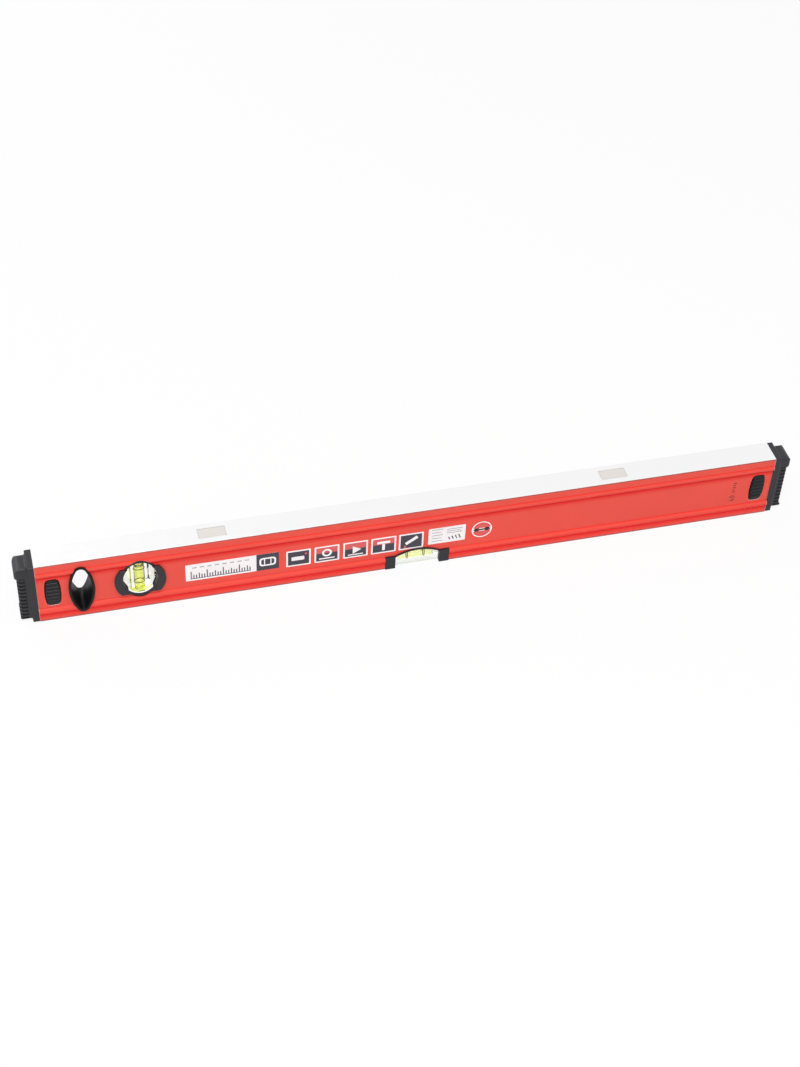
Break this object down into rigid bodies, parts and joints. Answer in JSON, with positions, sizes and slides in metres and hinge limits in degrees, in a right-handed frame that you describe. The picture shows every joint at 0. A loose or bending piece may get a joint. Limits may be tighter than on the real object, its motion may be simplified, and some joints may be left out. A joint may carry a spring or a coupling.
{
  "type": "magnetic spirit level",
  "caption": "Box-section spirit level with a level vial in the edge, a plumb vial near the left end, bar magnets in a milled face, a hang hole and ribbed end caps.",
  "frame": {"origin": "middle of the resting edge, below the middle of the bounding box", "axes": "+X along the level away from the end with the plumb vial, -Y out of the front face, +Z out of the milled magnet face"},
  "size_m": [0.6, 0.0234, 0.0555],
  "materials": {
    "frame_coat": "red powder coat, the magnet face milled bare",
    "cap_moulding": "fine matt, charcoal",
    "latch_moulding": "fine matt, black",
    "spring_steel": "bare spring steel",
    "sleeve_moulding": "fine matt, charcoal",
    "bezel_moulding": "fine matt, charcoal",
    "reflector_white": "matt white",
    "clear_acrylic": "polished clear",
    "vial_liquid": "clear yellow-green",
    "vial_bubble": "clear",
    "vial_plug": "clear",
    "ring_mark": "black paint",
    "housing_moulding": "fine matt, black",
    "magnet_nickel": "nickel plate"
  },
  "bodies": {
    "level": {"frame": "frame_coat", "end_cap_left": "cap_moulding", "end_cap_right": "cap_moulding", "hang_sleeve_front": "sleeve_moulding", "hang_sleeve_rear": "sleeve_moulding", "plumb_bezel_front": "bezel_moulding", "plumb_bezel_rear": "bezel_moulding", "plumb_reflector": "reflector_white", "plumb_vial_block": "clear_acrylic", "plumb_vial_liquid": "vial_liquid", "plumb_vial_plug": "vial_plug", "plumb_ring_lower": "ring_mark", "plumb_ring_upper": "ring_mark", "level_vial_housing": "housing_moulding", "level_vial_block": "clear_acrylic", "level_vial_liquid": "vial_liquid", "level_vial_plug": "vial_plug", "level_ring_left": "ring_mark", "level_ring_right": "ring_mark", "magnet_left": "magnet_nickel", "magnet_right": "magnet_nickel", "latch_spring_front_left": "spring_steel", "latch_spring_front_right": "spring_steel", "latch_spring_rear_left": "spring_steel", "latch_spring_rear_right": "spring_steel"},
    "button_front_left": {"latch_button_front_left": "latch_moulding"},
    "button_front_right": {"latch_button_front_right": "latch_moulding"},
    "button_rear_left": {"latch_button_rear_left": "latch_moulding"},
    "button_rear_right": {"latch_button_rear_right": "latch_moulding"},
    "level_bubble": {"level_bubble": "vial_bubble"},
    "plumb_bubble": {"plumb_bubble": "vial_bubble"}
  },
  "joints": [
    {"name": "press_front_left", "type": "slide", "parent": "level", "child": "button_front_left", "axis": [0, 1, 0], "range_m": [0, 0.003], "stiffness_N_per_m": 800, "springref_m": -0.002, "deforming": ["latch_spring_front_left"]},
    {"name": "press_front_right", "type": "slide", "parent": "level", "child": "button_front_right", "axis": [0, 1, 0], "range_m": [0, 0.003], "stiffness_N_per_m": 800, "springref_m": -0.002, "deforming": ["latch_spring_front_right"]},
    {"name": "press_rear_left", "type": "slide", "parent": "level", "child": "button_rear_left", "axis": [0, -1, 0], "range_m": [0, 0.003], "stiffness_N_per_m": 800, "springref_m": -0.002, "deforming": ["latch_spring_rear_left"]},
    {"name": "press_rear_right", "type": "slide", "parent": "level", "child": "button_rear_right", "axis": [0, -1, 0], "range_m": [0, 0.003], "stiffness_N_per_m": 800, "springref_m": -0.002, "deforming": ["latch_spring_rear_right"]},
    {"name": "level_bubble_travel", "type": "slide", "parent": "level", "child": "level_bubble", "axis": [1, 0, 0], "range_m": [-0.0075, 0.0075], "stiffness_N_per_m": 2, "deforming": ["level_vial_liquid"]},
    {"name": "plumb_bubble_travel", "type": "slide", "parent": "level", "child": "plumb_bubble", "axis": [0, 0, 1], "range_m": [-0.0205, 0], "stiffness_N_per_m": 1, "springref_m": 0.01, "deforming": ["plumb_vial_liquid"]}
  ]
}
